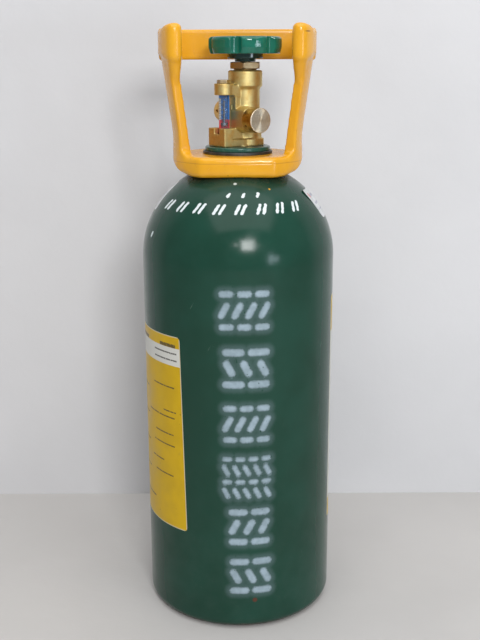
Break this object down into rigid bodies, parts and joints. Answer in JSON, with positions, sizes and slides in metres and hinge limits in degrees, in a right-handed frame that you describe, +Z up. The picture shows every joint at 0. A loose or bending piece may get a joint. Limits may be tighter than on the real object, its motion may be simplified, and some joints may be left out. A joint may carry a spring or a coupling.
{
  "type": "carbon dioxide gas cylinder",
  "caption": "Upright steel gas cylinder with a moulded carrying guard, a hand-wheel valve, a level gauge, an outlet cap and a relief plug.",
  "frame": {"origin": "on the cylinder's axis, in the plane that the foot stands on", "axes": "+Z up along the cylinder; -Y is the front, where the guard is open to the handwheel; the outlet points 35 degrees to the right of the front"},
  "size_m": [0.1656, 0.165, 0.509],
  "materials": {
    "green_paint": "glossy enamel, lightly worn",
    "yellow_plastic": "glossy moulded",
    "dark_washer": "dull black",
    "green_nut_paint": "glossy enamel",
    "forged_brass": "forged, satin",
    "turned_brass": "turned, dulled",
    "cap_brass": "turned, grey with age",
    "white_plastic": "plain",
    "wheel_enamel": "thick glossy enamel",
    "plated_steel": "zinc plated",
    "spring_steel": "drawn wire",
    "clear_tube": "clear",
    "scale_print": "printed blue and red",
    "black_rubber": "plain",
    "yellow_label": "coated",
    "white_label": "coated"
  },
  "bodies": {
    "cylinder": {"cylinder_body": "green_paint", "handle_guard": "yellow_plastic", "neck_washer": "dark_washer", "neck_ring_nut": "green_nut_paint", "valve_body": "forged_brass", "gland_nut": "turned_brass", "gland_packing": "white_plastic", "gauge_tube": "clear_tube", "gauge_scale": "scale_print", "gauge_spring": "spring_steel", "gauge_plug": "turned_brass", "gauge_seals": "black_rubber", "relief_plug": "turned_brass", "rupture_disc": "plated_steel", "relief_washer": "turned_brass", "label_left": "yellow_label", "label_right": "yellow_label", "sticker_left": "white_label", "sticker_right": "white_label"},
    "wheel": {"handwheel": "wheel_enamel", "wheel_washer": "plated_steel", "wheel_nut": "plated_steel", "spindle": "turned_brass"},
    "plug": {"valve_plug": "turned_brass", "seat_insert": "white_plastic"},
    "rod": {"gauge_plunger": "plated_steel"},
    "cap": {"outlet_cap": "cap_brass", "outlet_gasket": "white_plastic"}
  },
  "joints": [
    {"name": "wheel_turn", "type": "hinge", "parent": "cylinder", "child": "wheel", "pos_m": [0.00655, 0.00459, 0.48], "axis": [0, 0, 1], "range_deg": [0, 540]},
    {"name": "plug_lift", "type": "slide", "parent": "wheel", "child": "plug", "axis": [0, 0, 1], "range_m": [0, 0.003]},
    {"name": "gauge_rise", "type": "slide", "parent": "cylinder", "child": "rod", "axis": [0, 0, 1], "range_m": [0, 0.012], "stiffness_N_per_m": 150, "springref_m": -0.003, "deforming": ["gauge_spring"]},
    {"name": "cap_off", "type": "slide", "parent": "cylinder", "child": "cap", "axis": [0.5736, -0.8192, 0], "range_m": [0, 0.03]}
  ],
  "couplings": [
    {"joint": "plug_lift", "follows": "wheel_turn", "m_per_rad": 0.00031831}
  ]
}
